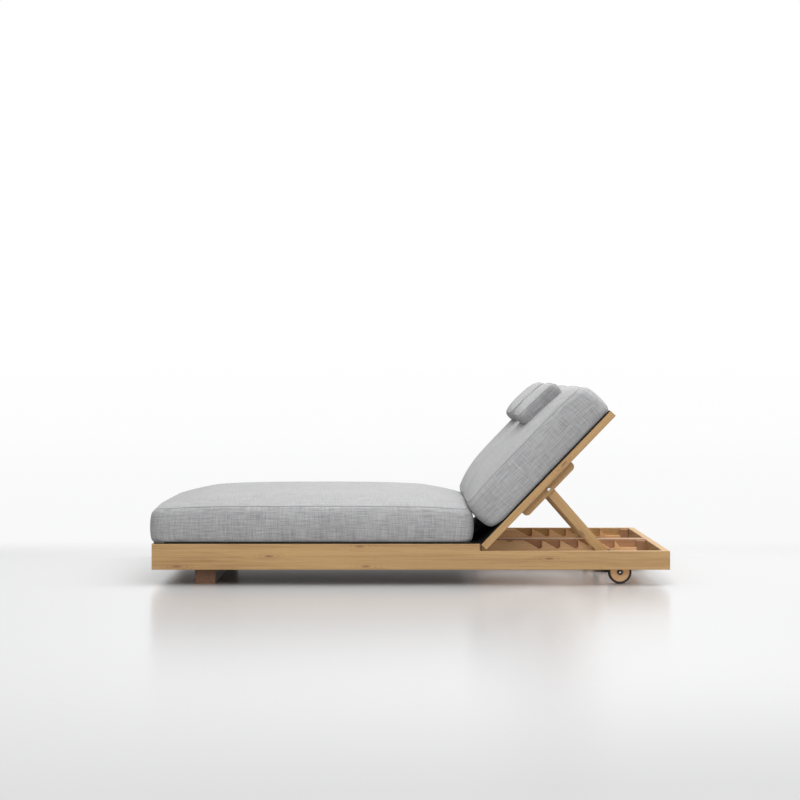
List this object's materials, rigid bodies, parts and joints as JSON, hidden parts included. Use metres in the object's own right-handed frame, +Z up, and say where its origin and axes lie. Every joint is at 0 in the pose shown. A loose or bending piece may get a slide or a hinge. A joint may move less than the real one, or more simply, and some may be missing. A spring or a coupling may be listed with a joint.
{
  "type": "double chaise lounger",
  "caption": "Low double sun lounger: wooden frame on a foot beam and wheels, one wide seat cushion, two backs that recline on notched racks.",
  "frame": {"origin": "on the ground under the middle of the wooden frame", "axes": "+X to the head end, where the backs and wheels are; the near side is -Y; +Z up"},
  "size_m": [2.05, 1.5, 0.7965],
  "materials": {
    "teak": "satin, oiled",
    "dark_wood": "satin, oiled",
    "wheel_wood": "satin, oiled",
    "cushion_fabric": "woven, matte",
    "black_mesh": "open weave, matte",
    "steel": "brushed"
  },
  "bodies": {
    "base": {"centre_beam": "teak", "corner_blocks": "teak", "fixed_hinge_leaves": "steel", "foot_beam": "dark_wood", "foot_cross_rails": "teak", "foot_end_rail": "teak", "head_end_rail": "teak", "hinge_cross_rails": "teak", "rack_far_inner": "teak", "rack_far_outer": "teak", "rack_near_inner": "teak", "rack_near_outer": "teak", "seat_cushion": "cushion_fabric", "seat_ledgers": "teak", "seat_mesh": "black_mesh", "seat_slats": "teak", "side_rail_far": "teak", "side_rail_near": "teak", "wheel_arms": "teak", "wheel_axles": "steel", "wheel_cross_rails": "teak"},
    "back_near": {"back_near_bottom_rail": "teak", "back_near_cleats": "teak", "back_near_cushion": "cushion_fabric", "back_near_hinge_leaves": "steel", "back_near_inner_rail": "teak", "back_near_mesh": "black_mesh", "back_near_outer_rail": "teak", "back_near_pillow": "cushion_fabric", "back_near_slats": "teak", "back_near_strut_bolts": "steel", "back_near_top_rail": "teak"},
    "strut_near": {"strut_near_bar": "teak", "strut_near_legs": "teak"},
    "back_far": {"back_far_bottom_rail": "teak", "back_far_cleats": "teak", "back_far_cushion": "cushion_fabric", "back_far_hinge_leaves": "steel", "back_far_inner_rail": "teak", "back_far_mesh": "black_mesh", "back_far_outer_rail": "teak", "back_far_pillow": "cushion_fabric", "back_far_slats": "teak", "back_far_strut_bolts": "steel", "back_far_top_rail": "teak"},
    "strut_far": {"strut_far_bar": "teak", "strut_far_legs": "teak"},
    "wheel_near_outer": {"wheel_disc_near_outer": "wheel_wood"},
    "wheel_near_inner": {"wheel_disc_near_inner": "wheel_wood"},
    "wheel_far_outer": {"wheel_disc_far_outer": "wheel_wood"},
    "wheel_far_inner": {"wheel_disc_far_inner": "wheel_wood"}
  },
  "joints": [
    {"name": "back_near_recline", "type": "hinge", "parent": "base", "child": "back_near", "pos_m": [0.288, 0, 0.1495], "axis": [0, -1, 0], "range_deg": [-46, 20]},
    {"name": "strut_near_fold", "type": "hinge", "parent": "back_near", "child": "strut_near", "pos_m": [0.54783, 0, 0.37681], "axis": [0, -1, 0], "range_deg": [-41, 94]},
    {"name": "back_far_recline", "type": "hinge", "parent": "base", "child": "back_far", "pos_m": [0.288, 0, 0.1495], "axis": [0, -1, 0], "range_deg": [-46, 20]},
    {"name": "strut_far_fold", "type": "hinge", "parent": "back_far", "child": "strut_far", "pos_m": [0.54783, 0, 0.37681], "axis": [0, -1, 0], "range_deg": [-41, 94]},
    {"name": "wheel_near_outer_spin", "type": "hinge", "parent": "base", "child": "wheel_near_outer", "pos_m": [0.832, 0, 0.0468], "axis": [0, 1, 0], "continuous": true},
    {"name": "wheel_near_inner_spin", "type": "hinge", "parent": "base", "child": "wheel_near_inner", "pos_m": [0.832, 0, 0.0468], "axis": [0, 1, 0], "continuous": true},
    {"name": "wheel_far_outer_spin", "type": "hinge", "parent": "base", "child": "wheel_far_outer", "pos_m": [0.832, 0, 0.0468], "axis": [0, 1, 0], "continuous": true},
    {"name": "wheel_far_inner_spin", "type": "hinge", "parent": "base", "child": "wheel_far_inner", "pos_m": [0.832, 0, 0.0468], "axis": [0, 1, 0], "continuous": true}
  ],
  "couplings": [
    {"joint": "strut_near_fold", "follows": "back_near_recline", "ratio": -2.03},
    {"joint": "strut_far_fold", "follows": "back_far_recline", "ratio": -2.03}
  ]
}
